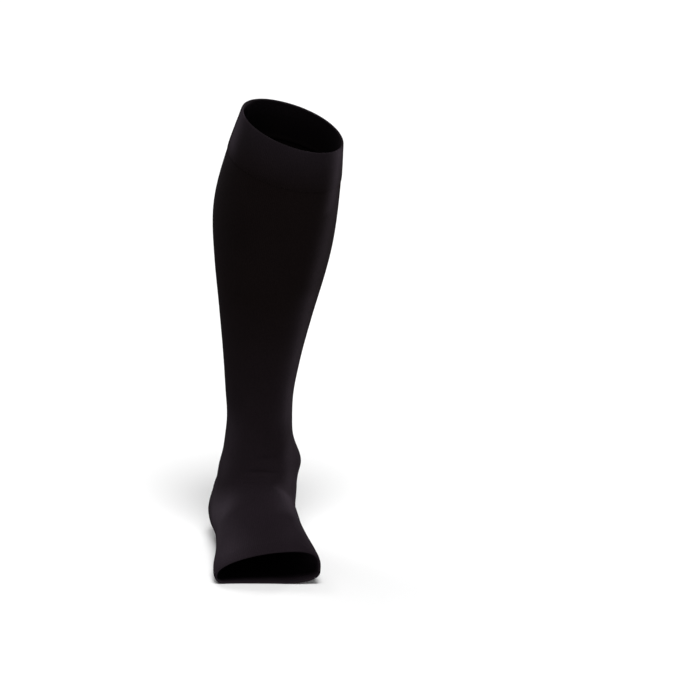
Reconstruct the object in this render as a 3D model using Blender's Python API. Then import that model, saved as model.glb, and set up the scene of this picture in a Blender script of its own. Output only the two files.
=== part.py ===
"""An open-toe, knee-high compression stocking, filled out as it is when worn on a right leg.

Right foot flat on the floor, toes towards -Y, inner side of the leg at +X, +Z up.
The origin is the middle of the top band, where the leg holds the stocking up.
Tables are in millimetres, in a plain upright stance: "ahead" is in front of the ankle's axis,
"up" is above the floor, "inner" and "outer" are towards and away from the other leg.
"""

import math
from collections import namedtuple

import bmesh
import bpy
import numpy as np
from mathutils import Matrix, Vector

MM = 0.001

# Driving sizes, in millimetres. The girths are those that a stocking of this kind is sized by.
LEG_LENGTH = 412.0  # sole to top edge, up the leg
BELOW_KNEE_GIRTH = 318.0  # point d
CALF_GIRTH = 358.0  # point c
SHANK_GIRTH = 278.0  # point b1
ANKLE_GIRTH = 220.0  # point b
TOP_BAND_DEPTH = 40.0
CLOTH = 1.2  # single knit, stretched
BAND_CLOTH = 2.0  # knit turned over on itself
BAND_PROUD = 0.6  # how far a band's face stands out from the single knit
SEAM_GAP = 0.3

# How the worn leg stands over its foot, in degrees.
KNEE_FORWARD = 12.0
KNEE_INWARD = 4.8
ANKLE_UP = 80.0  # height of the axis that the leg leans about

# Mesh: points round each ring, the column down the back, and the heel pocket's reach on either side
# of it, in columns: narrow where it leaves the leg, and widest halfway down.
ROUND = 48
BACK_COLUMN = 3 * ROUND // 4
HEEL_REACH = 6

LegRing = namedtuple("LegRing", "name up girth slim behind outward lift shin_n calf_n steps")
# slim: width over depth. behind, outward: where the ring's middle lies from the ankle's axis.
# lift: how much higher the ring's outer side is than its middle. shin_n, calf_n: squareness.
# steps: rings of the mesh down to the next row.
LEG_RINGS = (
    LegRing("top_edge", LEG_LENGTH, BELOW_KNEE_GIRTH, 0.82, 2.5, -0.2, 9.5, 2.0, 2.1, 4),
    LegRing("band_seam", LEG_LENGTH - TOP_BAND_DEPTH, 0.97 * CALF_GIRTH, 0.86, 9.7, 2.0, 7.5, 2.0, 2.1, 5),
    LegRing("calf", 0.77 * LEG_LENGTH, CALF_GIRTH, 0.88, 16.5, 4.0, 4.0, 1.95, 2.1, 5),
    LegRing("under_calf", 0.655 * LEG_LENGTH, 0.92 * CALF_GIRTH, 0.875, 15.8, 4.1, 1.5, 1.9, 2.05, 4),
    LegRing("calf_end", 0.55 * LEG_LENGTH, 0.80 * CALF_GIRTH, 0.85, 12.2, 3.9, 0.5, 1.9, 2.0, 4),
    LegRing("shank", 0.45 * LEG_LENGTH, 0.89 * SHANK_GIRTH, 0.81, 8.5, 3.4, 0.0, 1.9, 1.95, 4),
    LegRing("lower_shank", 0.365 * LEG_LENGTH, 1.02 * ANKLE_GIRTH, 0.77, 5.4, 2.3, 0.0, 1.95, 1.9, 3),
    LegRing("ankle", 0.295 * LEG_LENGTH, ANKLE_GIRTH, 0.75, 2.4, -0.6, 0.0, 2.0, 1.85, 3),
)

FootRing = namedtuple(
    "FootRing",
    "name top_ahead top_up low_ahead low_up inner outer widest top_n low_n crest arch lift slant bend steps",
)
# top, low: where the ring crosses the instep line and the heel or sole line, seen from the side.
# inner, outer: its half widths. widest: where it is widest, from low (0) to top (1).
# crest: how far its top leans inwards. arch: rise of the sole's inner side. lift: as for the leg.
# slant: how far ahead of its middle the ring's inner side lies. bend: share of the leg's lean.
FOOT_RINGS = (
    FootRing("above_bones", 40.5, 102.5, -45.0, 96.0, 33.5, 29.0, 0.50, 2.0, 1.9, 0.0, 0, 0, 0, 0.92, 2),
    FootRing("heel_top", 43.7, 91.5, -49.5, 72.0, 35.3, 29.6, 0.50, 2.1, 2.0, 1.0, 0, 0, 0, 0.78, 2),
    FootRing("heel_back", 46.7, 84.0, -55.0, 50.0, 35.0, 31.6, 0.50, 2.1, 2.1, 2.0, 0, 0, 0, 0.60, 2),
    FootRing("heel_round", 49.7, 79.0, -58.0, 31.0, 34.0, 34.5, 0.48, 2.1, 2.3, 3.0, 0, 0, 0, 0.42, 2),
    FootRing("heel_corner", 52.8, 75.5, -56.0, 13.0, 33.3, 36.8, 0.46, 2.1, 2.5, 4.0, 0, 0, 0, 0.27, 2),
    FootRing("heel_pad", 56.3, 73.0, -43.0, 0.0, 33.0, 38.0, 0.45, 2.1, 2.6, 5.0, 0, 0, 0, 0.15, 2),
    FootRing("heel_sole", 60.6, 70.6, -20.0, -2.0, 33.3, 38.6, 0.43, 2.1, 2.7, 6.0, 1, 0, 0, 0.06, 2),
    FootRing("heel_end", 66.0, 67.6, 6.0, -2.0, 34.0, 39.6, 0.41, 2.1, 2.8, 7.0, 6, 0, 0, 0.0, 2),
    FootRing("arch", 73.2, 63.6, 30.0, -1.5, 34.3, 41.2, 0.39, 2.1, 2.9, 8.0, 12, 0, 0, 0.0, 2),
    FootRing("midfoot", 83.0, 57.9, 54.0, -1.0, 34.8, 43.3, 0.37, 2.1, 3.0, 9.0, 12, 0, 2, 0.0, 2),
    FootRing("forefoot", 95.3, 51.1, 76.0, -1.0, 36.4, 45.7, 0.36, 2.1, 3.0, 10.4, 7, -1.5, 5, 0.0, 3),
    FootRing("toe_seam", 121.5, 38.8, 104.5, -1.5, 40.6, 48.7, 0.36, 2.15, 3.0, 12.0, 1, -2.5, 9, 0.0, 2),
    FootRing("toe_edge", 133.9, 34.5, 117.0, -1.5, 41.2, 49.4, 0.37, 2.2, 3.0, 13.0, 0, -3, 9, 0.0, 0),
)

Relief = namedtuple("Relief", "name ahead inward up spread height")
# Soft rises and hollows that a close-fitting knit shows on any leg.
RELIEFS = (
    Relief("inner_ankle_bone", 4.0, 34.0, 87.0, 16.0, 7.0),
    Relief("inner_instep", 12.0, 33.0, 56.0, 20.0, 6.0),
    Relief("outer_ankle_bone", -6.0, -34.0, 75.0, 12.0, 2.0),
    Relief("inner_tendon_hollow", -27.0, 24.0, 86.0, 16.0, -2.5),
    Relief("outer_tendon_hollow", -29.0, -24.0, 82.0, 16.0, -2.5),
    Relief("outer_heel", -36.0, -30.0, 22.0, 20.0, 6.0),
    Relief("inner_ball", 112.0, 44.0, 20.0, 15.0, 2.0),
    Relief("outer_ball", 98.0, -46.0, 14.0, 15.0, 2.0),
    Relief("inner_calf", -50.0, 38.0, 290.0, 48.0, 4.0),
    Relief("outer_calf", -46.0, -42.0, 320.0, 48.0, 3.0),
)

ARCH_TURN = math.radians(325.0)  # where round the ring the arch lifts most

Material = namedtuple("Material", "colour roughness")
MATERIALS = {
    "knit": Material((0.0075, 0.0062, 0.0068), 0.82),
    "band": Material((0.0095, 0.0080, 0.0090), 0.85),
}


def ellipse_halves(girth, slim):
    """Half width and half depth of an ellipse of that girth."""
    unit = math.pi * (3 * (slim + 1) - math.sqrt((3 * slim + 1) * (slim + 3)))
    half_depth = girth / unit
    return slim * half_depth, half_depth


Shape = namedtuple(
    "Shape",
    "top_ahead top_up low_ahead low_up inner outer widest top_n low_n crest arch lift slant bend outward",
)


def leg_row(ring):
    """A leg ring in the foot rings' terms, so that one function shapes both."""
    half_width, half_depth = ellipse_halves(ring.girth, ring.slim)
    return Shape(
        top_ahead=half_depth - ring.behind,
        top_up=ring.up,
        low_ahead=-half_depth - ring.behind,
        low_up=ring.up,
        inner=half_width,
        outer=half_width,
        widest=0.5,
        top_n=ring.shin_n,
        low_n=ring.calf_n,
        crest=0.0,
        arch=0.0,
        lift=ring.lift,
        slant=0.0,
        bend=1.0,
        outward=ring.outward,
    )


def foot_row(ring):
    return Shape(*ring[1:-1], outward=0.0)


ROWS = np.array([leg_row(r) for r in LEG_RINGS] + [foot_row(r) for r in FOOT_RINGS], float)
NAMES = [r.name for r in LEG_RINGS + FOOT_RINGS]
STEPS = [r.steps for r in LEG_RINGS + FOOT_RINGS]


def row_distances():
    """Distance down the stocking of each row: the mean of its paths along the front and the back."""
    front = np.linalg.norm(np.diff(ROWS[:, 0:2], axis=0), axis=1)
    back = np.linalg.norm(np.diff(ROWS[:, 2:4], axis=0), axis=1)
    return np.concatenate([[0.0], np.cumsum((front + back) / 2)])


DISTANCES = row_distances()


def row_slopes():
    """Slope of every column at every row, for a smooth curve through uneven rows."""
    gaps = np.diff(DISTANCES)[:, None]
    secants = np.diff(ROWS, axis=0) / gaps
    inner = (secants[:-1] * gaps[1:] + secants[1:] * gaps[:-1]) / (gaps[:-1] + gaps[1:])
    return np.vstack([secants[:1], inner, secants[-1:]])


SLOPES = row_slopes()


def shape_at(row, share):
    """The ring's shape at a share of the way from a row to the next."""
    if row >= len(ROWS) - 1:
        return Shape(*ROWS[-1])
    gap = DISTANCES[row + 1] - DISTANCES[row]
    s2, s3 = share**2, share**3
    values = (
        (2 * s3 - 3 * s2 + 1) * ROWS[row]
        + (s3 - 2 * s2 + share) * gap * SLOPES[row]
        + (3 * s2 - 2 * s3) * ROWS[row + 1]
        + (s3 - s2) * gap * SLOPES[row + 1]
    )
    return Shape(*values)


def upright_point(shape, turn):
    """(inward, ahead, up) of a ring's point. Turn 0 is the inner side and a quarter turn the front."""
    across, along = math.cos(turn), math.sin(turn)
    squareness = shape.top_n if along >= 0 else shape.low_n
    reach = (abs(across) ** squareness + abs(along) ** squareness) ** (-1 / squareness)
    across, along = across * reach, along * reach
    half_width = shape.inner if across >= 0 else shape.outer
    share = shape.widest + along * ((1 - shape.widest) if along >= 0 else shape.widest)
    inward = half_width * across - shape.outward + shape.crest * max(along, 0.0) ** 2
    ahead = shape.low_ahead + share * (shape.top_ahead - shape.low_ahead) + shape.slant * across
    up = shape.low_up + share * (shape.top_up - shape.low_up) - shape.lift * across
    up += shape.arch * max(0.0, math.cos(turn - ARCH_TURN)) ** 3
    return Vector((inward, ahead, up))


def ring_middle(shape):
    half = (shape.top_ahead + shape.low_ahead) / 2, (shape.top_up + shape.low_up) / 2
    return Vector((-shape.outward, half[0], half[1]))


def raised(point, middle):
    """The point with the soft rises and hollows near it added, outwards from the ring's middle."""
    outwards = (point - middle).normalized()
    moved = point.copy()
    for relief in RELIEFS:
        gap = (point - Vector((relief.inward, relief.ahead, relief.up))).length
        moved += outwards * relief.height * math.exp(-((gap / relief.spread) ** 2))
    return moved


def leaned(point, bend):
    """The upright point as the leg leans over the foot, in row axes: X inwards, Y backwards, Z up."""
    placed = Vector((point.x, -point.y, point.z - ANKLE_UP))
    forward = Matrix.Rotation(math.radians(KNEE_FORWARD) * bend, 3, "X")
    inward = Matrix.Rotation(math.radians(KNEE_INWARD) * bend, 3, "Y")
    return inward @ forward @ placed + Vector((0, 0, ANKLE_UP))


def floor_point(row, share, turn):
    """A point of the outer surface, above the floor that presses the sole flat."""
    shape = shape_at(row, share)
    point = leaned(raised(upright_point(shape, turn), ring_middle(shape)), shape.bend)
    point.z = max(point.z, 0.0)
    return point


def band_middle():
    """The middle of the top band, which is the origin."""
    shape = shape_at(0, 0.5)
    return leaned(ring_middle(shape), shape.bend)


ORIGIN = band_middle()


def surface_grid():
    """Outer points of the whole stocking, ring by ring from the top edge, and each row's ring."""
    grid, ring_of_row = [], {}
    for row, (name, steps) in enumerate(zip(NAMES, STEPS)):
        ring_of_row[name] = len(grid)
        for step in range(max(steps, 1)):
            share = step / max(steps, 1)
            ring = [
                (floor_point(row, share, 2 * math.pi * column / ROUND) - ORIGIN) * MM
                for column in range(ROUND)
            ]
            grid.append(ring)
    return grid, ring_of_row


def cell(ring, column):
    """The four corners of a cell of the grid, each named by its ring and column."""
    column, after = column % ROUND, (column + 1) % ROUND
    return (ring, column), (ring, after), (ring + 1, after), (ring + 1, column)


def band_of_cells(first_ring, last_ring):
    return [cell(ring, column) for ring in range(first_ring, last_ring) for column in range(ROUND)]


def heel_and_rest(first_ring, last_ring):
    """The cells between two rings, shared between the heel pocket and the knit round it.

    The pocket's edge runs slantwise through the grid, one column to a ring, so it halves each cell
    that it crosses: forwards down to the middle ring, and back again below it.
    """
    middle = (first_ring + last_ring) // 2
    heel, rest = [], []
    for ring in range(first_ring, last_ring):
        widens = ring < middle
        reach = HEEL_REACH + (ring - first_ring if widens else last_ring - 1 - ring)
        left, right = BACK_COLUMN - reach - 1, BACK_COLUMN + reach
        for column in range(ROUND):
            a, b, c, d = cell(ring, column)
            if left < column < right:
                heel.append((a, b, c, d))
            elif column == left:
                heel.append((b, c, d) if widens else (a, b, c))
                rest.append((a, b, d) if widens else (a, c, d))
            elif column == right:
                heel.append((a, c, d) if widens else (a, b, d))
                rest.append((a, b, c) if widens else (b, c, d))
            else:
                rest.append((a, b, c, d))
    return heel, rest


def free_edges(cells):
    """Edges that only one of the cells has, in that cell's direction."""
    edges = {edge for corners in cells for edge in zip(corners, corners[1:] + corners[:1])}
    return sorted(edge for edge in edges if edge[::-1] not in edges)


def middle_of(grid, corners):
    return sum((grid[ring][column] for ring, column in corners), Vector()) / len(corners)


def outward_normal(grid, corner):
    ring, column = corner
    above, below = max(ring - 1, 0), min(ring + 1, len(grid) - 1)
    down = grid[below][column] - grid[above][column]
    along = grid[ring][(column + 1) % ROUND] - grid[ring][(column - 1) % ROUND]
    return along.cross(down).normalized()


def cloth_piece(name, grid, cells, open_rings, thickness, proud, material):
    """A wall of cloth over those cells, with half a seam gap on each free edge off the open rings."""
    edges = free_edges(cells)
    seams = {corner for edge in edges for corner in edge if corner[0] not in open_rings}
    inset = {corner: Vector() for corner in seams}
    for corners in cells:
        for ring, column in seams.intersection(corners):
            inset[ring, column] += middle_of(grid, corners) - grid[ring][column]
    bm = bmesh.new()
    outer, inner = {}, {}
    for corner in sorted({corner for corners in cells for corner in corners}):
        point = grid[corner[0]][corner[1]].copy()
        if corner in seams:
            point += inset[corner].normalized() * SEAM_GAP / 2 * MM
        normal = outward_normal(grid, corner)
        outer[corner] = bm.verts.new(point + normal * proud * MM)
        inner[corner] = bm.verts.new(point + normal * (proud - thickness) * MM)
    for corners in cells:
        bm.faces.new([outer[corner] for corner in corners])
        bm.faces.new([inner[corner] for corner in reversed(corners)])
    for start, end in edges:
        bm.faces.new([outer[end], outer[start], inner[start], inner[end]])
    bmesh.ops.recalc_face_normals(bm, faces=bm.faces)
    mesh = bpy.data.meshes.new(name)
    bm.to_mesh(mesh)
    bm.free()
    mesh.materials.append(material)
    bpy.context.scene.collection.objects.link(bpy.data.objects.new(name, mesh))


def principled(name, look):
    material = bpy.data.materials.new(name)
    material.use_nodes = True
    shader = material.node_tree.nodes["Principled BSDF"]
    shader.inputs["Base Color"].default_value = (*look.colour, 1.0)
    shader.inputs["Roughness"].default_value = look.roughness
    shader.inputs["Metallic"].default_value = 0.0
    return material


def main():
    for obj in list(bpy.data.objects):
        bpy.data.objects.remove(obj)
    knit = principled("knit", MATERIALS["knit"])
    band = principled("band", MATERIALS["band"])
    grid, at = surface_grid()
    top, toe = at["top_edge"], at["toe_edge"]
    heel, rest = heel_and_rest(at["heel_top"], at["heel_end"])
    leg = band_of_cells(at["band_seam"], at["heel_top"])
    foot = rest + band_of_cells(at["heel_end"], at["toe_seam"])
    top_band = band_of_cells(top, at["band_seam"])
    toe_band = band_of_cells(at["toe_seam"], toe)
    cloth_piece("top_band", grid, top_band, (top,), BAND_CLOTH, BAND_PROUD, band)
    cloth_piece("leg", grid, leg, (), CLOTH, 0.0, knit)
    cloth_piece("heel", grid, heel, (), CLOTH, 0.0, knit)
    cloth_piece("foot", grid, foot, (), CLOTH, 0.0, knit)
    cloth_piece("toe_band", grid, toe_band, (toe,), BAND_CLOTH, BAND_PROUD, band)


main()
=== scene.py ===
"""An open-toe, knee-high compression stocking, filled out as it is on a standing right leg.

Laid out as an add-on. Each operator makes one knitted piece over its solids of the frame:
the cloth starts as a flat grid, is cut flat, and is then wrapped round the form of the leg.
The form's tables are in millimetres in a plain upright stance: "ahead" is in front of the
ankle's axis, "up" is above the floor, "inner" and "outer" are towards and away from the other
leg. The finished pieces are in the frame's metres, toes towards -Y and inner side at +X.
"""

import math
from collections import namedtuple
from functools import lru_cache

import bmesh
import bpy
import numpy as np
from bpy.props import FloatProperty, FloatVectorProperty, IntProperty, PointerProperty
from mathutils import Matrix, Vector
from mathutils.kdtree import KDTree


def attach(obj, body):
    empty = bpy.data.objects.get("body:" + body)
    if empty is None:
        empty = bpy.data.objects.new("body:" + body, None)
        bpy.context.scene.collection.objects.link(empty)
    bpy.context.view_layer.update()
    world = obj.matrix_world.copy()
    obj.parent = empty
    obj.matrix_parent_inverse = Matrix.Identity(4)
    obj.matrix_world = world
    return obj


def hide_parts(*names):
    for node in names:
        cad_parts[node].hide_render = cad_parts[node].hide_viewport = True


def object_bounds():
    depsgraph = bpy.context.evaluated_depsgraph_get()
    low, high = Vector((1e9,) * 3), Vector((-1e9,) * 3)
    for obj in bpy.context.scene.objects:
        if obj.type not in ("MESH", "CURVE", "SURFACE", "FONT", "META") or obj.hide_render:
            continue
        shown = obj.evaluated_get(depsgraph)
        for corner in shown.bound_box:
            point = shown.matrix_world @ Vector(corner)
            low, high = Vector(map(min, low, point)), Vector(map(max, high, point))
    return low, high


bl_info = {
    "name": "Open-Toe Compression Stocking",
    "version": (1, 0, 0),
    "blender": (4, 5, 0),
    "location": "3D View > Sidebar > Stocking",
    "description": "Knits an open-toe, knee-high compression stocking round a worn leg's form",
    "category": "Add Mesh",
}

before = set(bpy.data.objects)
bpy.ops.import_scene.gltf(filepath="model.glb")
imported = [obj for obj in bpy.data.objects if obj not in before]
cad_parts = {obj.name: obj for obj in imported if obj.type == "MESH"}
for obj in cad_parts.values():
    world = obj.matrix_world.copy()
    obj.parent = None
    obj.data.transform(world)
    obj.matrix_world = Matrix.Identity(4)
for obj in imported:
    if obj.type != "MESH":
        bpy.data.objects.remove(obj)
CAD_BOX = [list(corner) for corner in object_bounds()]
FLOOR_HEIGHT = CAD_BOX[0][2]

MM = 0.001


def linear(hex_colour):
    """Linear red, green and blue of an sRGB colour written as #rrggbb."""
    shares = [int(hex_colour[i : i + 2], 16) / 255 for i in (1, 3, 5)]
    return [c / 12.92 if c <= 0.04045 else ((c + 0.055) / 1.055) ** 2.4 for c in shares]


# ---------------------------------------------------------------- sizes and looks a user changes


class StockingSizes(bpy.types.PropertyGroup):
    """Sizes of the cloth itself. The form that it is stretched over is in the tables below."""

    knit_thickness: FloatProperty(
        name="Knit Thickness",
        description="Thickness of the single knit as it is stretched over the leg",
        default=1.2 * MM,
        min=0.3 * MM,
        max=3 * MM,
        unit="LENGTH",
    )
    band_thickness: FloatProperty(
        name="Band Thickness",
        description="Thickness of the two bands, where the knit is turned over on itself",
        default=2.0 * MM,
        min=0.6 * MM,
        max=4 * MM,
        unit="LENGTH",
    )
    band_proud: FloatProperty(
        name="Band Step",
        description="How far the face of a band stands out from the single knit beside it",
        default=0.6 * MM,
        min=0.0,
        max=1.5 * MM,
        unit="LENGTH",
    )
    crease_depth: FloatProperty(
        name="Crease Depth",
        description="Scales the soft creases at the bend of the ankle. 1 is as tabled, 0 is none",
        default=1.0,
        min=0.0,
        max=3.0,
        subtype="FACTOR",
    )
    needles: IntProperty(
        name="Needles",
        description="Needles of the circular machine. Each knits one column of loops",
        default=400,
        min=160,
        max=480,
    )
    drawn_coarser: IntProperty(
        name="Drawn Coarser",
        description="How many times as large as real ones the loops are drawn, so that they show",
        default=2,
        min=1,
        max=4,
    )


class StockingYarn(bpy.types.PropertyGroup):
    """Colours of the dyed yarn, and the grey of the painted highlights."""

    calf_black: FloatVectorProperty(
        name="Calf Black",
        description="Colour where the knit is stretched most, round the calf",
        subtype="COLOR",
        default=linear("#0f0b0b"),
        min=0.0,
        max=1.0,
    )
    foot_black: FloatVectorProperty(
        name="Foot Black",
        description="Colour where the knit is closer, round the ankle and foot",
        subtype="COLOR",
        default=linear("#1b161a"),
        min=0.0,
        max=1.0,
    )
    band_black: FloatVectorProperty(
        name="Band Black",
        description="Colour of the doubled knit at the top edge",
        subtype="COLOR",
        default=linear("#181417"),
        min=0.0,
        max=1.0,
    )
    # The colour of the painted highlights: lighter grey patches that stand in for light falling on
    # the heel, the instep, the band and the leg's inner edge.
    painted_highlight_grey: FloatVectorProperty(
        name="Drawn Grey",
        description="Colour where the knit is drawn thin, as over the heel and the instep",
        subtype="COLOR",
        default=linear("#332d33"),
        min=0.0,
        max=1.0,
    )


class StudioLight(bpy.types.PropertyGroup):
    """The lights round the stocking."""

    surround: FloatProperty(
        name="Surround",
        description="Strength of the white light from all round",
        default=0.185,
        min=0.0,
        max=5.0,
    )
    key_strength: FloatProperty(
        name="Key Light",
        description="Strength of the high, soft light from the front",
        default=3.1,
        min=0.0,
        max=20.0,
    )
    edge_strength: FloatProperty(
        name="Edge Light",
        description="Strength of the level light from behind that draws the leg's inner edge",
        default=15.5,
        min=0.0,
        max=40.0,
    )
    top_strength: FloatProperty(
        name="Top Light",
        description="Strength of the soft light from above and behind, on the outer side",
        default=0.7,
        min=0.0,
        max=20.0,
    )


# ------------------------------------------------------------------------- the form of the leg

# Driving sizes in millimetres, the ones that a stocking of this kind is sized by.
LEG_LENGTH = 412.0
BELOW_KNEE_GIRTH = 318.0
CALF_GIRTH = 358.0
SHANK_GIRTH = 278.0
ANKLE_GIRTH = 220.0
TOP_BAND_DEPTH = 40.0
BAND_SEAM_UP = LEG_LENGTH - TOP_BAND_DEPTH

# How the worn leg stands over its foot, in degrees, about an axis at that height.
KNEE_FORWARD = 12.0
KNEE_INWARD = 4.8
ANKLE_UP = 80.0

LegRing = namedtuple("LegRing", "name up girth slim behind outward lift shin_n calf_n steps")
# slim: width over depth. behind, outward: where the ring's middle lies from the ankle's axis.
# lift: how much higher its outer side is than its middle. shin_n, calf_n: how square its front
# and its back are, where 2 is an ellipse. steps: cells of cloth down to the next row.
LEG_RINGS = (
    LegRing("top_edge", LEG_LENGTH, BELOW_KNEE_GIRTH, 0.82, 2.5, -0.2, 9.5, 2.0, 2.1, 8),
    LegRing("band_seam", BAND_SEAM_UP, 0.97 * CALF_GIRTH, 0.86, 9.7, 2.0, 7.5, 2.0, 2.1, 10),
    LegRing("calf", 0.77 * LEG_LENGTH, CALF_GIRTH, 0.88, 16.5, 4.0, 4.0, 1.95, 2.1, 10),
    LegRing("low_calf", 0.655 * LEG_LENGTH, 0.92 * CALF_GIRTH, 0.875, 15.8, 4.1, 1.5, 1.9, 2.05, 8),
    LegRing("calf_end", 0.55 * LEG_LENGTH, 0.80 * CALF_GIRTH, 0.85, 12.2, 3.9, 0.5, 1.9, 2.0, 8),
    LegRing("shank", 0.45 * LEG_LENGTH, 0.89 * SHANK_GIRTH, 0.81, 8.5, 3.4, 0, 1.9, 1.95, 8),
    LegRing("lower_shank", 0.365 * LEG_LENGTH, 1.02 * ANKLE_GIRTH, 0.77, 5.4, 2.3, 0, 1.95, 1.9, 6),
    LegRing("ankle", 0.295 * LEG_LENGTH, ANKLE_GIRTH, 0.75, 2.4, -0.6, 0, 2.0, 1.85, 6),
)

SHAPE_FIELDS = (
    "top_ahead top_up low_ahead low_up inner outer widest top_n low_n crest arch lift slant bend"
)
FootRing = namedtuple("FootRing", f"name {SHAPE_FIELDS} steps")
# top, low: where the ring crosses the instep line and the heel or sole line, from the side.
# inner, outer: its half widths. widest: where it is widest, from low (0) to top (1).
# top_n, low_n: squareness. crest: how far its top leans inwards. arch: rise of its inner sole.
# lift: how much higher its outer side is. slant: how far ahead of its middle its inner side lies.
# bend: share of the leg's lean.
FOOT_RINGS = (
    FootRing("above_bones", 40.5, 102.5, -45, 96, 33.5, 29, 0.5, 2, 1.9, 0, 0, 0, 0, 0.92, 4),
    FootRing("heel_top", 43.7, 91.5, -49.5, 72, 35.3, 29.6, 0.5, 2.1, 2, 1, 0, 0, 0, 0.78, 4),
    FootRing("heel_back", 46.7, 84, -55, 50, 35, 31.6, 0.5, 2.1, 2.1, 2, 0, 0, 0, 0.6, 4),
    FootRing("heel_round", 49.7, 79, -58, 31, 34, 34.5, 0.48, 2.1, 2.3, 3, 0, 0, 0, 0.42, 4),
    FootRing("heel_corner", 52.8, 75.5, -56, 13, 33.3, 36.8, 0.46, 2.1, 2.5, 4, 0, 0, 0, 0.27, 4),
    FootRing("heel_pad", 56.3, 73, -43, 0, 33, 38, 0.45, 2.1, 2.6, 5, 0, 0, 0, 0.15, 4),
    FootRing("heel_sole", 60.6, 70.6, -20, -2, 33.3, 38.6, 0.43, 2.1, 2.7, 6, 1, 0, 0, 0.06, 4),
    FootRing("heel_end", 66, 67.6, 6, -2, 34, 39.6, 0.41, 2.1, 2.8, 7, 6, 0, 0, 0, 4),
    FootRing("arch", 73.2, 63.6, 30, -1.5, 34.3, 41.2, 0.39, 2.1, 2.9, 8, 12, 0, 0, 0, 4),
    FootRing("midfoot", 83, 57.9, 54, -1, 34.8, 43.3, 0.37, 2.1, 3, 9, 12, 0, 2, 0, 4),
    FootRing("forefoot", 95.3, 51.1, 76, -1, 36.4, 45.7, 0.36, 2.1, 3, 10.4, 7, -1.5, 5, 0, 6),
    FootRing("toe_seam", 121.5, 38.8, 104.5, -1.5, 40.6, 48.7, 0.36, 2.15, 3, 12, 1, -2.5, 9, 0, 4),
    FootRing("toe_edge", 133.9, 34.5, 117, -1.5, 41.2, 49.4, 0.37, 2.2, 3, 13, 0, -3, 9, 0, 0),
)

Relief = namedtuple("Relief", "name ahead inward up spread height")
# Soft rises and hollows of the leg that the knit follows closely.
RELIEFS = (
    Relief("inner_ankle_bone", 4.0, 34.0, 87.0, 16.0, 7.0),
    Relief("inner_instep", 12.0, 33.0, 56.0, 20.0, 6.0),
    Relief("outer_ankle_bone", -6.0, -34.0, 75.0, 12.0, 2.0),
    Relief("inner_tendon_hollow", -27.0, 24.0, 86.0, 16.0, -2.5),
    Relief("outer_tendon_hollow", -29.0, -24.0, 82.0, 16.0, -2.5),
    Relief("outer_heel", -36.0, -30.0, 22.0, 20.0, 6.0),
    Relief("inner_ball", 112.0, 44.0, 20.0, 15.0, 2.0),
    Relief("outer_ball", 98.0, -46.0, 14.0, 15.0, 2.0),
    Relief("inner_calf", -50.0, 38.0, 290.0, 48.0, 4.0),
    Relief("outer_calf", -46.0, -42.0, 320.0, 48.0, 3.0),
)

ARCH_TURN = math.radians(325.0)  # where round the ring the arch lifts most

Shape = namedtuple("Shape", f"{SHAPE_FIELDS} outward")


def leg_row(ring):
    """A leg ring in the foot rings' terms, its half axes worked out from girth and slimness."""
    # Ramanujan's formula, for the way round an ellipse whose half axes are slim and 1.
    slim = ring.slim
    unit_girth = math.pi * (3 * (slim + 1) - math.sqrt((3 * slim + 1) * (slim + 3)))
    half_depth = ring.girth / unit_girth
    half_width = slim * half_depth
    return Shape(
        top_ahead=half_depth - ring.behind,
        top_up=ring.up,
        low_ahead=-half_depth - ring.behind,
        low_up=ring.up,
        inner=half_width,
        outer=half_width,
        widest=0.5,
        top_n=ring.shin_n,
        low_n=ring.calf_n,
        crest=0.0,
        arch=0.0,
        lift=ring.lift,
        slant=0.0,
        bend=1.0,
        outward=ring.outward,
    )


RINGS = LEG_RINGS + FOOT_RINGS
# A row for each ring with a Shape's columns, of which the foot's have no outward.
ROWS = np.array([leg_row(r) for r in LEG_RINGS] + [(*r[1:-1], 0.0) for r in FOOT_RINGS])
# Where each row lies, in cells of cloth down from the top edge.
ROW_STEP = np.cumsum([0] + [r.steps for r in RINGS[:-1]])
STEP = {ring.name: int(step) for ring, step in zip(RINGS, ROW_STEP)}


def row_distances():
    """Millimetres down the stocking to each row, as the mean of its front and its back."""
    front = np.linalg.norm(np.diff(ROWS[:, 0:2], axis=0), axis=1)
    back = np.linalg.norm(np.diff(ROWS[:, 2:4], axis=0), axis=1)
    return np.concatenate([[0.0], np.cumsum((front + back) / 2)])


DISTANCES = row_distances()


def row_slopes():
    """Slope of every column at every row, for a smooth curve through uneven rows."""
    gaps = np.diff(DISTANCES)[:, None]
    secants = np.diff(ROWS, axis=0) / gaps
    between = (secants[:-1] * gaps[1:] + secants[1:] * gaps[:-1]) / (gaps[:-1] + gaps[1:])
    return np.vstack([secants[:1], between, secants[-1:]])


SLOPES = row_slopes()


@lru_cache(maxsize=None)
def shape_at(step):
    """The ring's shape that many cells of cloth down from the top edge."""
    row = min(int(np.searchsorted(ROW_STEP, step, side="right")) - 1, len(ROWS) - 2)
    share = (step - ROW_STEP[row]) / (ROW_STEP[row + 1] - ROW_STEP[row])
    gap = DISTANCES[row + 1] - DISTANCES[row]
    # A cubic Hermite curve from this row to the next.
    values = (
        (2 * share**3 - 3 * share**2 + 1) * ROWS[row]
        + (share**3 - 2 * share**2 + share) * gap * SLOPES[row]
        + (3 * share**2 - 2 * share**3) * ROWS[row + 1]
        + (share**3 - share**2) * gap * SLOPES[row + 1]
    )
    return Shape(*map(float, values))


def distance_down(step):
    """Millimetres down the stocking from the top edge."""
    return float(np.interp(step, ROW_STEP, DISTANCES))


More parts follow.
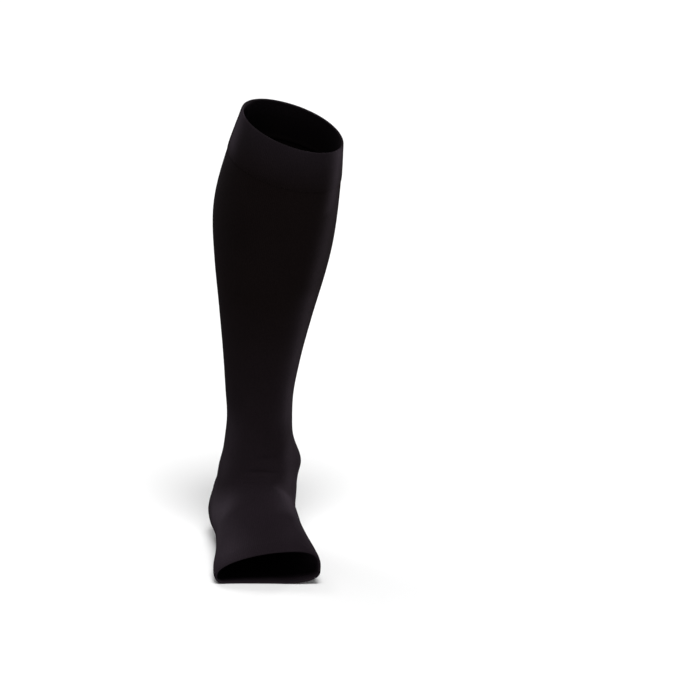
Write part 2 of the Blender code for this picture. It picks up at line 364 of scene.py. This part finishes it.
def upright_point(shape, turn):
    """(inward, ahead, up) of a ring's point. Turn 0 is the inner side, a quarter turn the front."""
    across, along = math.cos(turn), math.sin(turn)
    squareness = shape.top_n if along >= 0 else shape.low_n
    reach = (abs(across) ** squareness + abs(along) ** squareness) ** (-1 / squareness)
    across, along = across * reach, along * reach
    half_width = shape.inner if across >= 0 else shape.outer
    share = shape.widest + along * ((1 - shape.widest) if along >= 0 else shape.widest)
    inward = half_width * across - shape.outward + shape.crest * max(along, 0.0) ** 2
    ahead = shape.low_ahead + share * (shape.top_ahead - shape.low_ahead) + shape.slant * across
    up = shape.low_up + share * (shape.top_up - shape.low_up) - shape.lift * across
    up += shape.arch * max(0.0, math.cos(turn - ARCH_TURN)) ** 3
    return Vector((inward, ahead, up))


def ring_middle(shape):
    """(inward, ahead, up) of the middle of a ring."""
    ahead = (shape.top_ahead + shape.low_ahead) / 2
    up = (shape.top_up + shape.low_up) / 2
    return Vector((-shape.outward, ahead, up))


def raised(point, middle):
    """The point with the rises and hollows near it added, outwards from the ring's middle."""
    outwards = (point - middle).normalized()
    moved = point.copy()
    for relief in RELIEFS:
        gap = (point - Vector((relief.inward, relief.ahead, relief.up))).length
        moved += outwards * relief.height * math.exp(-((gap / relief.spread) ** 2))
    return moved


def leaned(point, bend):
    """The upright point as the leg leans over the foot: X inwards, Y backwards, Z up."""
    placed = Vector((point.x, -point.y, point.z - ANKLE_UP))
    forward = Matrix.Rotation(math.radians(KNEE_FORWARD) * bend, 3, "X")
    inward = Matrix.Rotation(math.radians(KNEE_INWARD) * bend, 3, "Y")
    return inward @ forward @ placed + Vector((0, 0, ANKLE_UP))


# The middle of the top band, which is the frame's origin.
BAND_MIDDLE = leaned(ring_middle(shape_at(STEP["band_seam"] / 2)), 1.0)


def form_point(step, turn):
    """The point of the worn leg's surface in the frame, its sole pressed flat on the floor."""
    shape = shape_at(step)
    point = leaned(raised(upright_point(shape, turn), ring_middle(shape)), shape.bend)
    point.z = max(point.z, 0.0)
    return (point - BAND_MIDDLE) * MM


# ------------------------------------------------------------------------------ the flat cloth

COLUMNS = 96  # cells of cloth round the leg
BACK = 3 * COLUMNS // 4  # the column down the back of the leg
HEEL_NARROW = COLUMNS // 8  # the heel pocket's reach either side of it, where it starts and ends
BAND_FINENESS = 4  # rows of a band's cloth for each cell down the leg, for its narrow grooves
CUT_MARGIN = 0.01  # cells past its ends that a cut still takes in
CUT_SNAP = 0.0001  # cells within which a cut runs through a corner and not beside it
JOIN_GAP = 0.02  # millimetres within which the cloth's two long edges are joined

GORE_RIDGE = 0.35  # height in millimetres of the row of caught loops round the heel pocket
GORE_SPREAD = 1.2  # and how far it spreads to either side
GORE_POINTS = 240  # points along each straight stretch of it, a quarter of a millimetre apart

# The cloth that a crease takes in stands up in a ridge on either side of it.
RIDGE_HEIGHT = 0.45  # share of the crease's depth
RIDGE_PLACE = 1.7  # widths from the crease's middle

Crease = namedtuple("Crease", "name step turn reach slope width depth")
# step, turn: its middle, in cells down and degrees round. reach: degrees either side.
# slope: cells down for each 10 degrees away from the middle. width, depth: millimetres.
CREASES = (
    Crease("instep_bend", STEP["heel_top"] + 1, 92, 40, 0.30, 4.0, 1.20),
    Crease("instep_upper", STEP["above_bones"], 84, 32, 0.25, 3.6, 0.90),
    Crease("instep_lower", STEP["heel_round"] + 1, 100, 30, 0.35, 3.8, 0.80),
    Crease("tendon_upper", STEP["ankle"] + 4, 266, 30, -0.20, 4.0, 0.60),
    Crease("tendon_lower", STEP["above_bones"] + 2, 274, 26, -0.25, 3.6, 0.70),
)

Streak = namedtuple("Streak", "name start end spread amount")
# A soft streak between two places on the upright form, each (inward, ahead, up).
# spread: millimetres to either side. amount: what it comes to along its middle.

# Painted highlights: where light is painted onto the knit as a lighter grey, and how much of that
# grey shows.
PAINTED_HIGHLIGHTS = (
    Streak("outer_band", (-52, -4, 418), (-53, -4, 396), 13.0, 0.75),
    Streak("inner_band", (39, 28, 404), (39, 26, 350), 9.0, 0.32),
    Streak("inner_calf", (40, 21, 345), (31, 22, 265), 11.0, 0.14),
    Streak("inner_shin", (29, 24, 255), (21, 23, 140), 13.0, 0.24),
    Streak("inner_ankle", (31, 21, 100), (30, 29, 74), 11.0, 0.24),
    Streak("outer_ankle", (-27, 11, 120), (-29, 8, 84), 18.0, 0.25),
    Streak("outer_side", (-36, 2, 32), (-33, 42, 46), 17.0, 0.90),
    Streak("outer_foot", (-40, 48, 34), (-42, 102, 28), 20.0, 0.50),
    Streak("inner_instep", (21, 62, 64), (21, 78, 58), 10.5, 0.48),
    Streak("inner_foot", (25, 90, 50), (26, 112, 44), 14.0, 0.15),
)
# The shin's soft crest, and its height in millimetres.
SHIN_CREST = Streak("shin_crest", (10, 26, 335), (3, 8, 125), 15.0, 2.4)

Dip = namedtuple("Dip", "name place depth width")
# A shallow groove along a band. place: how far from its seam. All are in millimetres.


def on_streak(streak, place):
    """A streak's amount at a place, falling off softly all round it."""
    start, end = Vector(streak.start), Vector(streak.end)
    along = (place - start).dot(end - start) / (end - start).length_squared
    nearest = start.lerp(end, min(max(along, 0.0), 1.0))
    return streak.amount * math.exp(-(((place - nearest).length / streak.spread) ** 2))


def turn_at(column):
    """Radians round the leg to a column of the cloth."""
    return 2 * math.pi * column / COLUMNS


def flat_cloth(first, last, cells):
    """A flat grid of cloth: X counts columns round the leg, Y counts cells down from the top."""
    cloth = bmesh.new()
    cloth.loops.layers.uv.new("knit")
    middle = Matrix.Translation((COLUMNS / 2, (first + last) / 2, 0))
    size = Matrix.Diagonal((COLUMNS / 2, (last - first) / 2, 1, 1))
    bmesh.ops.create_grid(
        cloth, x_segments=COLUMNS, y_segments=cells, size=1.0, matrix=middle @ size, calc_uvs=True
    )
    return cloth


def cut_line(cloth, start, end):
    """Cuts the flat cloth along the straight line between two points of it."""
    start, end = Vector((*start, 0)), Vector((*end, 0))
    low = [min(start[i], end[i]) - CUT_MARGIN for i in (0, 1)]
    high = [max(start[i], end[i]) + CUT_MARGIN for i in (0, 1)]
    near = [
        face
        for face in cloth.faces
        if all(low[i] < face.calc_center_median()[i] < high[i] for i in (0, 1))
    ]
    edges = list({edge for face in near for edge in face.edges})
    verts = list({vert for face in near for vert in face.verts})
    across = (end - start).cross(Vector((0, 0, 1)))
    bmesh.ops.bisect_plane(
        cloth, geom=near + edges + verts, dist=CUT_SNAP, plane_co=start, plane_no=across
    )


def heel_reach(step):
    """Columns from the back of the leg to the heel pocket's edge, or less than none off it."""
    top, bottom = STEP["heel_top"], STEP["heel_end"]
    return HEEL_NARROW + min(step - top, bottom - step) if top < step < bottom else -COLUMNS


def heel_corners():
    """(column, step) of the heel pocket's corners, in order round it."""
    top, bottom = STEP["heel_top"], STEP["heel_end"]
    middle = (top + bottom) / 2
    wide = HEEL_NARROW + middle - top
    return (
        (BACK - HEEL_NARROW, top),
        (BACK + HEEL_NARROW, top),
        (BACK + wide, middle),
        (BACK + HEEL_NARROW, bottom),
        (BACK - HEEL_NARROW, bottom),
        (BACK - wide, middle),
    )


def gore_lines():
    """The straight cuts of the flat cloth down the sides of the heel pocket.

    Its top and bottom need none, as they lie along the rows and the knit just runs on there.
    """
    corners = heel_corners()
    lines = zip(corners[-1:] + corners[:-1], corners)
    return [(start, end) for start, end in lines if start[1] != end[1]]


def cut_heel(cloth, keep_heel):
    """Cuts the heel pocket's outline and takes away the pocket, or all the rest."""
    for start, end in gore_lines():
        cut_line(cloth, start, end)
    unwanted = []
    for face in cloth.faces:
        centre = face.calc_center_median()
        in_heel = abs(centre.x - BACK) < heel_reach(centre.y)
        if in_heel != keep_heel:
            unwanted.append(face)
    bmesh.ops.delete(cloth, geom=unwanted, context="FACES")


def gore_points():
    """Points of the form along the heel pocket's straight cuts."""
    points = []
    for start, end in gore_lines():
        for share in np.arange(0, 1, 1 / GORE_POINTS):
            column, step = (float(a + share * (b - a)) for a, b in zip(start, end))
            points.append(form_point(step, turn_at(column)))
    return points


def measure_from_seam(cloth, seam_points):
    """Keeps each vertex's distance from the nearest of the seam's points."""
    tree = KDTree(len(seam_points))
    for i, point in enumerate(seam_points):
        tree.insert(point, i)
    tree.balance()
    from_seam = cloth.verts.layers.float.new("from_seam")
    for vert in cloth.verts:
        vert[from_seam] = tree.find(vert.co)[2]


def wrap(cloth, seam_step=0.0):
    """Wraps the flat cloth round the leg, and keeps each vertex's share of painted highlight.

    Its UV map holds turns round the leg, and metres from a seam or else from the top edge. Its
    long edges meet down the inner side and are joined, as a circular knit has no seam there.
    """
    uv = cloth.loops.layers.uv["knit"]
    flat = cloth.verts.layers.float_vector.new("flat")
    painted_highlight_share = cloth.verts.layers.float.new("painted_highlight_share")
    start = distance_down(seam_step)
    for face in cloth.faces:
        for loop in face.loops:
            x, y, _ = loop.vert.co
            loop[uv].uv = (x / COLUMNS, abs(distance_down(y) - start) * MM)
    for vert in cloth.verts:
        step, turn = vert.co.y, turn_at(vert.co.x)
        vert[flat] = vert.co
        place = upright_point(shape_at(step), turn)
        # The share of the painted highlight's grey at this vertex.
        vert[painted_highlight_share] = max(on_streak(streak, place) for streak in PAINTED_HIGHLIGHTS)
        vert.co = form_point(step, turn)
    bmesh.ops.remove_doubles(cloth, verts=cloth.verts, dist=JOIN_GAP * MM)
    cloth.normal_update()


def crease_lift(step, turn):
    """Millimetres that the creases move the cloth, outwards if more than none."""
    lift = 0.0
    for crease in CREASES:
        off = (turn - crease.turn + 180) % 360 - 180
        if abs(off) >= crease.reach:
            continue
        line = crease.step + crease.slope * abs(off) / 10
        away = (distance_down(step) - distance_down(line)) / crease.width
        fade = (1 - (off / crease.reach) ** 2) ** 2
        trough = -math.exp(-(away**2))
        ridges = RIDGE_HEIGHT * math.exp(-((abs(away) - RIDGE_PLACE) ** 2))
        lift += crease.depth * fade * (trough + ridges)
    return lift


def shape_knit(cloth, crease_depth):
    """Presses the creases, the shin's crest and the heel's row of loops into the wrapped knit."""
    for edge in cloth.edges:
        edge.smooth = not edge.is_boundary  # keeps the cut edge's side out of the face's shading
    measure_from_seam(cloth, gore_points())
    flat = cloth.verts.layers.float_vector["flat"]
    from_seam = cloth.verts.layers.float["from_seam"]
    for vert in cloth.verts:
        column, step, _ = vert[flat]
        lift = crease_lift(step, 360 * column / COLUMNS) * crease_depth
        lift += GORE_RIDGE * math.exp(-((vert[from_seam] / (GORE_SPREAD * MM)) ** 2))
        lift += on_streak(SHIN_CREST, upright_point(shape_at(step), turn_at(column)))
        vert.co += vert.normal * lift * MM


def shape_band(cloth, proud, seam, edge):
    """Stands the band out from the knit, stitched down at its seam and slacker in between."""
    flat = cloth.verts.layers.float_vector["flat"]
    from_seam = cloth.verts.layers.float.new("from_seam")
    depth = abs(distance_down(edge) - distance_down(seam))
    dips = (
        Dip("seam", 0.0, 0.25, 1.6),
        Dip("beside_stitches", 2.6, 0.22, 1.1),
        Dip("turned_edge", depth, 0.20, 1.5),
    )
    for vert in cloth.verts:
        gap = abs(distance_down(vert[flat][1]) - distance_down(seam))
        vert[from_seam] = gap * MM
        low = sum(dip.depth * math.exp(-(((gap - dip.place) / dip.width) ** 2)) for dip in dips)
        vert.co += vert.normal * (proud - low * MM)


# ------------------------------------------------------------------------------- the materials


Knit = namedtuple("Knit", "name closer loop_height near far fade_start fade_end")
# All four are fine nylon over elastane, knitted plain on a circular machine and dyed black. To the
# eye they are a matt, warm black with no gloss, only a thin bloom where the cloth turns away.
# closer: how many columns of loops there are for each needle of the machine.
# loop_height: millimetres, as worn. A real loop is about 0.7 mm high and 0.9 mm wide round the
# calf. That is too fine to show, so the loops are drawn coarser, by the setting of that name.
# near, far: the yarn's colour up to fade_start and from fade_end, in millimetres from the seam of
# a band, and from the top edge on the tube.

# Stretched most round the calf, where it is blackest, and closer and greyer down at the foot.
TUBE_KNIT = Knit("nylon_circular_knit", 1.0, 0.71, "calf_black", "foot_black", 160.0, 400.0)
# Knitted to and fro with a tighter yarn, so its loops are smaller.
HEEL_KNIT = Knit("nylon_heel_knit", 1.2, 0.59, "foot_black", "foot_black", 0.0, 1.0)
# Two layers that hardly stretch, so they are a little greyer towards the edge.
TOP_BAND_KNIT = Knit("nylon_turned_knit", 1.0, 0.62, "calf_black", "band_black", 0.0, 38.0)
# Two layers of the foot's own knit.
TOE_BAND_KNIT = Knit("nylon_turned_toe_knit", 1.0, 0.62, "foot_black", "foot_black", 0.0, 1.0)

LIMB_SLANT = 1.1  # loops that a loop's limb climbs from the middle of its column to the side
# Real fibres are under 0.1 mm thick, too fine to show, and are drawn as flecks of this many mm.
FLECK = 1.1
CLOUD = 36.0  # the dye and the tension vary over this many millimetres
SEAM_ROW = (0.5, 1.4)  # millimetres from a seam in which its row of caught loops fades out
LOOP_RELIEF = 0.4  # millimetres that a loop drawn this coarse stands up
SEAM_RELIEF = 0.8  # how much higher the seam's row stands, in loops
RELIEF_SHOWN = 0.35  # share of the relief that the bump shows, as a stretched knit is flatter


def add_node(tree, kind, inputs=(), **settings):
    """Adds a node with its settings and fills its inputs."""
    node = tree.nodes.new(kind)
    for name, value in settings.items():
        setattr(node, name, value)
    fill_inputs(tree, node, inputs)
    return node


def fill_inputs(tree, node, inputs):
    """Gives inputs, by name or number, a value or a link. A node stands for its first output."""
    for target, source in dict(inputs).items():
        if isinstance(source, bpy.types.Node):
            source = source.outputs[0]
        if isinstance(source, bpy.types.NodeSocket):
            tree.links.new(source, node.inputs[target])
        else:
            node.inputs[target].default_value = source


def new_material(name):
    """An empty material with its tree and its shader."""
    material = bpy.data.materials.new(name)
    material.use_nodes = True
    tree = material.node_tree
    return material, tree, tree.nodes["Principled BSDF"]


def stitch_height(tree, turns, metres, wales, courses):
    """The height of plain knitting, from nothing to one: columns of V-shaped loops.

    wales: columns of loops round the leg. courses: rows of loops to the metre. Returns the
    height, and how far from the middle of its column of loops a point lies, up to a half.
    """
    math_kind = "ShaderNodeMath"
    column = add_node(tree, math_kind, {0: turns, 1: wales}, operation="MULTIPLY")
    limb = add_node(tree, math_kind, {0: column, 1: 0.5}, operation="PINGPONG")
    row = add_node(tree, math_kind, {0: metres, 1: courses}, operation="MULTIPLY")
    slant = add_node(tree, math_kind, {0: limb, 1: LIMB_SLANT, 2: row}, operation="MULTIPLY_ADD")
    loop = add_node(tree, math_kind, {0: slant, 1: 0.5}, operation="PINGPONG")
    return add_node(tree, math_kind, {0: limb, 1: loop}, operation="ADD"), limb


def knit_material(knit, sizes, yarn):
    """The knit's stitches, flecks and faint clouds, and the row of caught loops at its seam."""
    material, tree, shader = new_material(knit.name)
    place = add_node(tree, "ShaderNodeUVMap", uv_map="knit")
    split = add_node(tree, "ShaderNodeSeparateXYZ", {0: place})
    turns, metres = split.outputs["X"], split.outputs["Y"]
    wales = knit.closer * sizes.needles / sizes.drawn_coarser
    courses = 1 / (knit.loop_height * sizes.drawn_coarser * MM)
    stitches, limb = stitch_height(tree, turns, metres, wales, courses)
    # The share of painted highlight: light painted into the colour as a lighter grey.
    painted_highlight = add_node(tree, "ShaderNodeAttribute", attribute_name="painted_highlight_share").outputs["Fac"]
    seam_gap = add_node(tree, "ShaderNodeAttribute", attribute_name="from_seam").outputs["Fac"]
    object_place = add_node(tree, "ShaderNodeTexCoord").outputs["Object"]
    flecks, clouds = (
        add_node(
            tree,
            "ShaderNodeTexNoise",
            {
                "Vector": object_place,
                "Scale": 1 / (grain * MM),
                "Detail": detail,
                "Roughness": rough,
            },
        )
        for grain, detail, rough in ((FLECK, 3.0, 0.6), (CLOUD, 2.0, 0.5))
    )

    # What each pattern comes to at its low and its high end, as a share, a factor or a roughness.
    tones = {}
    for key, value, low, high, at_low, at_high in (
        ("fade", metres, knit.fade_start * MM, knit.fade_end * MM, 0.0, 1.0),
        # The loops' relief in the colour: painted shade in their hollows and a painted highlight on
        # their crests, following the bump's height.
        ("stitch_shading", stitches, 0.0, 1.0, 0.72, 1.18),
        ("fleck", flecks, 0.3, 0.7, 0.85, 1.15),
        ("cloud", clouds, 0.3, 0.7, 0.94, 1.06),
        ("seam", seam_gap, SEAM_ROW[0] * MM, SEAM_ROW[1] * MM, 1.0, 0.0),
        ("eyelet", limb, 0.0, 0.3, 0.35, 1.2),
        ("roughness", clouds, 0.0, 1.0, 0.62, 0.78),
    ):
        ends = {"From Min": low, "From Max": high, "To Min": at_low, "To Max": at_high}
        tones[key] = add_node(tree, "ShaderNodeMapRange", {"Value": value, **ends})

    colour = (*getattr(yarn, knit.near), 1)
    for share, layer, blend_type in (
        (tones["fade"], (*getattr(yarn, knit.far), 1), "MIX"),
        # Mixes in the painted highlights' grey.
        (painted_highlight, (*yarn.painted_highlight_grey, 1), "MIX"),
        # Multiplies in the loops' painted shade and highlight.
        (1.0, tones["stitch_shading"], "MULTIPLY"),
        (1.0, tones["fleck"], "MULTIPLY"),
        (1.0, tones["cloud"], "MULTIPLY"),
        (tones["seam"], tones["eyelet"], "MULTIPLY"),
    ):
        inputs = {0: share, 6: colour, 7: layer}  # a Mix node's colours, whose result is output 2
        mix = add_node(tree, "ShaderNodeMix", inputs, data_type="RGBA", blend_type=blend_type)
        colour = mix.outputs[2]

    inputs = {0: tones["seam"], 1: SEAM_RELIEF, 2: stitches}
    relief = add_node(tree, "ShaderNodeMath", inputs, operation="MULTIPLY_ADD")
    inputs = {"Height": relief, "Strength": RELIEF_SHOWN, "Distance": LOOP_RELIEF * MM}
    bump = add_node(tree, "ShaderNodeBump", inputs)
    # 1.53 is nylon's own IOR. The knit's pores swallow the fibres' gloss, so it has no specular
    # level, and the stray fibres' bloom is the sheen.
    looks = {
        "Base Color": colour,
        "Roughness": tones["roughness"],
        "Normal": bump,
        "IOR": 1.53,
        "Specular IOR Level": 0.0,
        "Sheen Weight": 0.020,
        "Sheen Roughness": 0.4,
        "Sheen Tint": (*linear("#d8ccd8"), 1),
    }
    fill_inputs(tree, shader, looks)
    return material


# ------------------------------------------------------------------------- finishing the pieces


SMOOTHING = 1  # levels of subdivision


def finish_piece(name, cloth, material, nodes, thickness, round_edges):
    """Makes the object, gives it its thickness and smoothness, and ties it to the frame."""
    mesh = bpy.data.meshes.new(name)
    cloth.to_mesh(mesh)
    cloth.free()
    mesh.shade_smooth()
    mesh.materials.append(material)
    piece = bpy.data.objects.new(name, mesh)
    bpy.context.scene.collection.objects.link(piece)
    # A band's turned edge is rounded with its faces. The single knit's cut edges stay square.
    kinds = ["SOLIDIFY", "SUBSURF"] if round_edges else ["SUBSURF", "SOLIDIFY"]
    for kind in kinds:
        modifier = piece.modifiers.new(kind.title(), kind)
        if kind == "SOLIDIFY":
            modifier.thickness = thickness
            modifier.offset = -1.0  # inwards from the face
            modifier.use_even_offset = True
            modifier.use_quality_normals = True
        else:
            modifier.levels = SMOOTHING
            modifier.render_levels = SMOOTHING
            modifier.boundary_smooth = "PRESERVE_CORNERS"
    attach(piece, "root")
    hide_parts(*nodes)
    return piece


def single_knit(name, knit, nodes, first, last, keep_heel):
    """Knits a piece of the single cloth: the heel pocket, or the tube that it is let into."""
    sizes, yarn = bpy.context.scene.stocking_sizes, bpy.context.scene.stocking_yarn
    cloth = flat_cloth(first, last, last - first)
    cut_heel(cloth, keep_heel)
    wrap(cloth)
    shape_knit(cloth, sizes.crease_depth)
    material = knit_material(knit, sizes, yarn)
    return finish_piece(
        name, cloth, material, nodes, sizes.knit_thickness, round_edges=False
    )


def double_band(name, knit, nodes, seam, edge):
    """Turns the knit over into a double band that runs from its seam to its edge."""
    sizes, yarn = bpy.context.scene.stocking_sizes, bpy.context.scene.stocking_yarn
    first, last = sorted((seam, edge))
    cloth = flat_cloth(first, last, (last - first) * BAND_FINENESS)
    wrap(cloth, seam)
    shape_band(cloth, sizes.band_proud, seam, edge)
    material = knit_material(knit, sizes, yarn)
    return finish_piece(
        name, cloth, material, nodes, sizes.band_thickness, round_edges=True
    )


class STOCKING_OT_knit_tube(bpy.types.Operator):
    """Knit the single-layer tube of the leg and foot, open where the heel pocket goes"""

    bl_idname = "stocking.knit_tube"
    bl_label = "Leg and Foot"
    bl_options = {"REGISTER", "UNDO"}

    def execute(self, context):
        first, last = STEP["band_seam"] - 1, STEP["toe_seam"] + 1  # a cell runs under each band
        piece = single_knit("knit_tube", TUBE_KNIT, ("leg", "foot"), first, last, keep_heel=False)
        return {"FINISHED"}


class STOCKING_OT_heel_pocket(bpy.types.Operator):
    """Knit the heel pocket into its opening in the tube"""

    bl_idname = "stocking.heel_pocket"
    bl_label = "Heel Pocket"
    bl_options = {"REGISTER", "UNDO"}

    def execute(self, context):
        first, last = STEP["heel_top"], STEP["heel_end"]
        piece = single_knit("heel_pocket", HEEL_KNIT, ("heel",), first, last, keep_heel=True)
        return {"FINISHED"}


class STOCKING_OT_top_band(bpy.types.Operator):
    """Turn the knit over into the double band that grips the leg below the knee"""

    bl_idname = "stocking.top_band"
    bl_label = "Top Band"
    bl_options = {"REGISTER", "UNDO"}

    def execute(self, context):
        seam, edge = STEP["band_seam"], STEP["top_edge"]
        piece = double_band("top_band_welt", TOP_BAND_KNIT, ("top_band",), seam, edge)
        return {"FINISHED"}


class STOCKING_OT_toe_band(bpy.types.Operator):
    """Turn the knit over into the narrow double band round the open toe"""

    bl_idname = "stocking.toe_band"
    bl_label = "Toe Band"
    bl_options = {"REGISTER", "UNDO"}

    def execute(self, context):
        seam, edge = STEP["toe_seam"], STEP["toe_edge"]
        piece = double_band("toe_band_welt", TOE_BAND_KNIT, ("toe_band",), seam, edge)
        return {"FINISHED"}


FarLight = namedtuple("FarLight", "name direction width")
# direction: where it comes from. width: degrees across, and the wider the softer.
KEY_LIGHT = FarLight("key", (0.0, -1.0, 1.4), 24.0)
EDGE_LIGHT = FarLight("edge", (0.775, 0.631, -0.06), 18.0)
TOP_LIGHT = FarLight("top", (-0.3, 0.5, 1.0), 35.0)

# The camera is a long lens, ahead of the leg, a little outwards and looking down on it.
LENS = 189.87  # millimetres, as is the sensor's width
SENSOR_WIDTH = 36.0
CAMERA_PLACE = (-0.43479, -3.17533, 0.61136)
CAMERA_DOWN = 0.244  # radians below level
CAMERA_ASIDE = -0.153  # radians round from straight backwards
CAMERA_REACH = 50.0  # metres that it sees

FLOOR_RADIUS = 12.0  # metres
FLOOR_SIDES = 96


class STOCKING_OT_studio(bpy.types.Operator):
    """Set up the white floor, the surround, the lights and the camera"""

    bl_idname = "stocking.studio"
    bl_label = "Studio"
    bl_options = {"REGISTER", "UNDO"}

    def execute(self, context):
        studio = context.scene.stocking_studio
        lay_floor()
        world = bpy.data.worlds.new("white_surround")
        world.use_nodes = True
        surround = world.node_tree.nodes["Background"]
        surround.inputs["Color"].default_value = (*linear("#ffffff"), 1)
        surround.inputs["Strength"].default_value = studio.surround
        context.scene.world = world
        add_far_light(KEY_LIGHT, studio.key_strength)
        add_far_light(EDGE_LIGHT, studio.edge_strength)
        add_far_light(TOP_LIGHT, studio.top_strength)
        context.scene.camera = add_camera()
        context.scene.view_settings.view_transform = "Standard"
        return {"FINISHED"}


def lay_floor():
    """A wide white floor under the sole."""
    disc = bmesh.new()
    place = Matrix.Translation((0, 0, FLOOR_HEIGHT))
    bmesh.ops.create_circle(
        disc, cap_ends=True, segments=FLOOR_SIDES, radius=FLOOR_RADIUS, matrix=place
    )
    mesh = bpy.data.meshes.new("floor")
    disc.to_mesh(mesh)
    disc.free()
    # Matt background paper: an even white with no reflection in it.
    material, tree, shader = new_material("matt_white_paper")
    looks = {
        "Base Color": (*linear("#f4f4f4"), 1),
        "Roughness": 0.9,
        "Specular IOR Level": 0.1,
    }
    fill_inputs(tree, shader, looks)
    mesh.materials.append(material)
    floor = bpy.data.objects.new("floor", mesh)
    bpy.context.scene.collection.objects.link(floor)


def add_far_light(far_light, strength):
    """A wide, soft light from far off."""
    data = bpy.data.lights.new(far_light.name, "SUN")
    data.energy = strength
    data.angle = math.radians(far_light.width)
    light = bpy.data.objects.new(far_light.name, data)
    bpy.context.scene.collection.objects.link(light)
    light.rotation_euler = Vector(far_light.direction).to_track_quat("Z", "Y").to_euler()


def add_camera():
    """The camera, with its lens and place."""
    data = bpy.data.cameras.new("camera")
    data.sensor_width = SENSOR_WIDTH
    data.lens = LENS
    data.clip_end = CAMERA_REACH
    camera = bpy.data.objects.new("camera", data)
    bpy.context.scene.collection.objects.link(camera)
    camera.location = CAMERA_PLACE
    camera.rotation_euler = (math.pi / 2 - CAMERA_DOWN, 0.0, CAMERA_ASIDE)
    return camera


class STOCKING_PT_panel(bpy.types.Panel):
    """Buttons and settings of the stocking"""

    bl_idname = "STOCKING_PT_panel"
    bl_label = "Compression Stocking"
    bl_space_type = "VIEW_3D"
    bl_region_type = "UI"
    bl_category = "Stocking"

    def draw(self, context):
        """Lists every setting, and a button for each operator."""
        layout = self.layout
        layout.use_property_split = True
        groups = {
            "Cloth": context.scene.stocking_sizes,
            "Yarn": context.scene.stocking_yarn,
            "Lights": context.scene.stocking_studio,
        }
        for title, group in groups.items():
            box = layout.box()
            box.label(text=title)
            for name in group.bl_rna.properties.keys():
                if name not in ("rna_type", "name"):
                    box.prop(group, name)
        for operator in OPERATORS:
            layout.operator(operator.bl_idname)


GROUPS = {
    "stocking_sizes": StockingSizes,
    "stocking_yarn": StockingYarn,
    "stocking_studio": StudioLight,
}
OPERATORS = (
    STOCKING_OT_knit_tube,
    STOCKING_OT_heel_pocket,
    STOCKING_OT_top_band,
    STOCKING_OT_toe_band,
    STOCKING_OT_studio,
)
CLASSES = (*GROUPS.values(), *OPERATORS, STOCKING_PT_panel)


def register():
    """Makes the classes known to Blender and hangs the settings on its scenes."""
    for cls in CLASSES:
        bpy.utils.register_class(cls)
    for name, group in GROUPS.items():
        setattr(bpy.types.Scene, name, PointerProperty(type=group))


def unregister():
    """Takes the settings and the classes away again."""
    for name in GROUPS:
        delattr(bpy.types.Scene, name)
    for cls in reversed(CLASSES):
        bpy.utils.unregister_class(cls)


def main():
    """Makes the stocking and its studio."""
    register()
    bpy.ops.stocking.knit_tube()
    bpy.ops.stocking.heel_pocket()
    bpy.ops.stocking.top_band()
    bpy.ops.stocking.toe_band()
    bpy.ops.stocking.studio()


if __name__ == "__main__":
    main()
